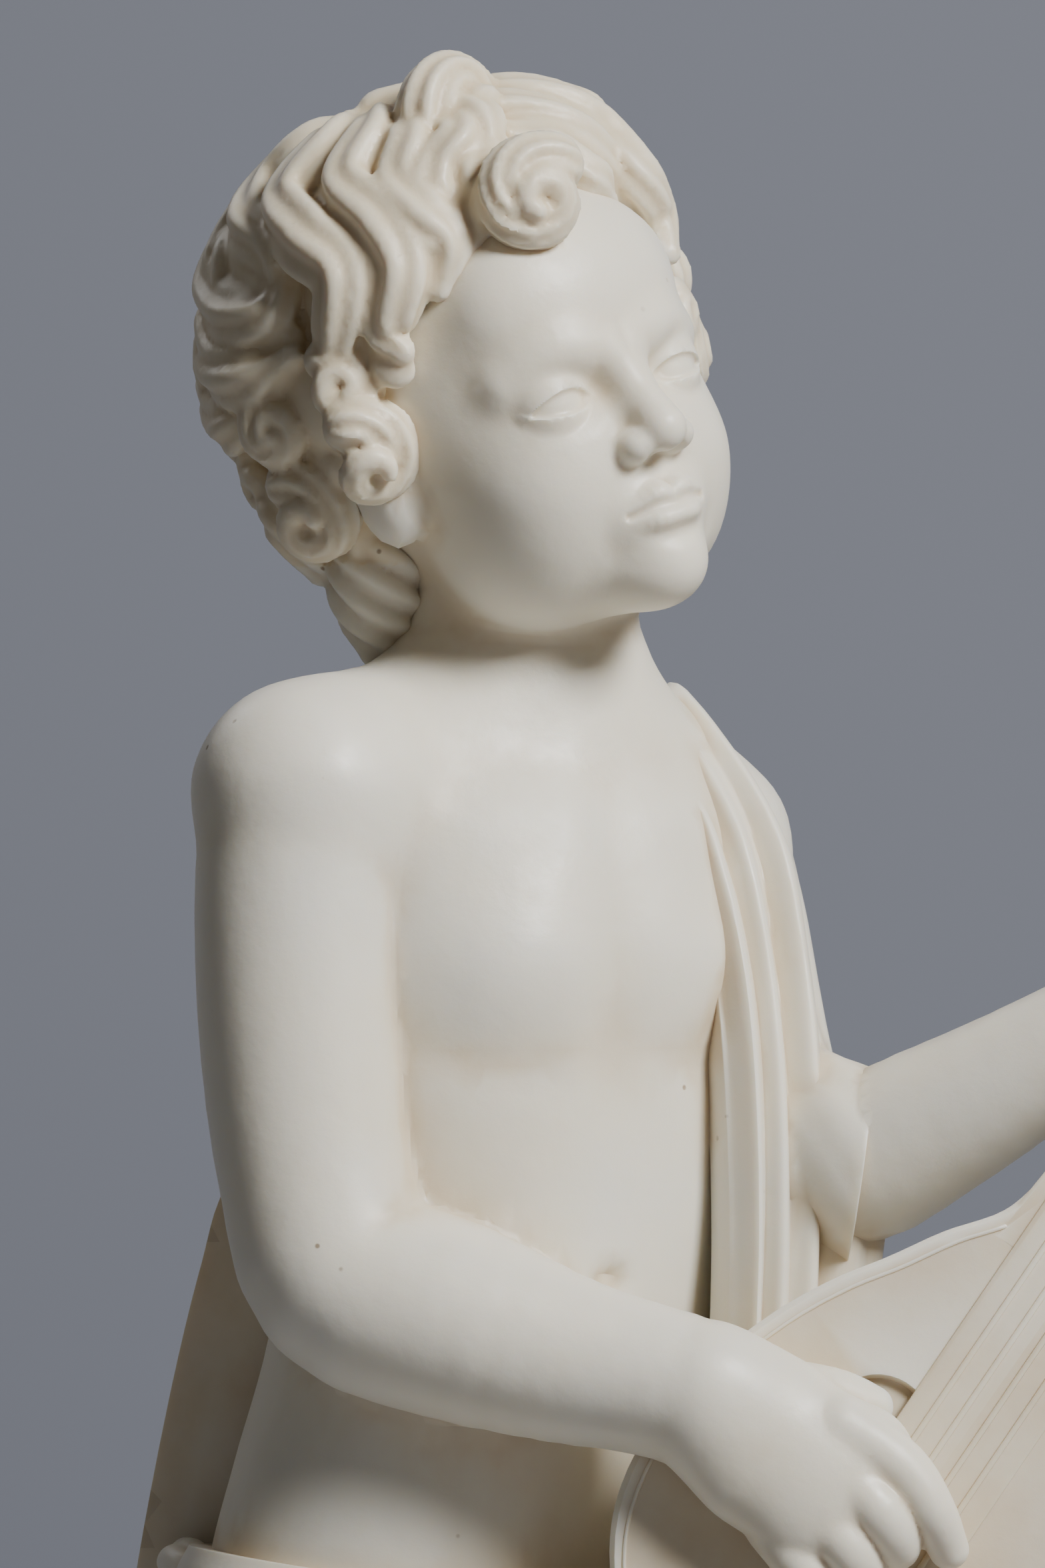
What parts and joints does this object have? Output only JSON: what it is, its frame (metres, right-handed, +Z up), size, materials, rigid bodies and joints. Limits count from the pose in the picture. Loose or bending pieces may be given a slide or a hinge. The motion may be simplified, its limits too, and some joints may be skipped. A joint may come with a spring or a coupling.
{
  "type": "marble statue",
  "caption": "Standing marble child musician with curly hair, a cloak over one shoulder and a lute across the hip, carved with a low round base.",
  "frame": {"origin": "centre of the round base's underside, on the surface the statue stands on", "axes": "+Z up, through the crown; -Y is the side the picture was taken from; +X is the picture's right, towards the lute's neck"},
  "size_m": [0.5165, 0.352, 1.0625],
  "materials": {
    "marble": "satin"
  },
  "bodies": {
    "root": {"statue": "marble"}
  },
  "joints": []
}
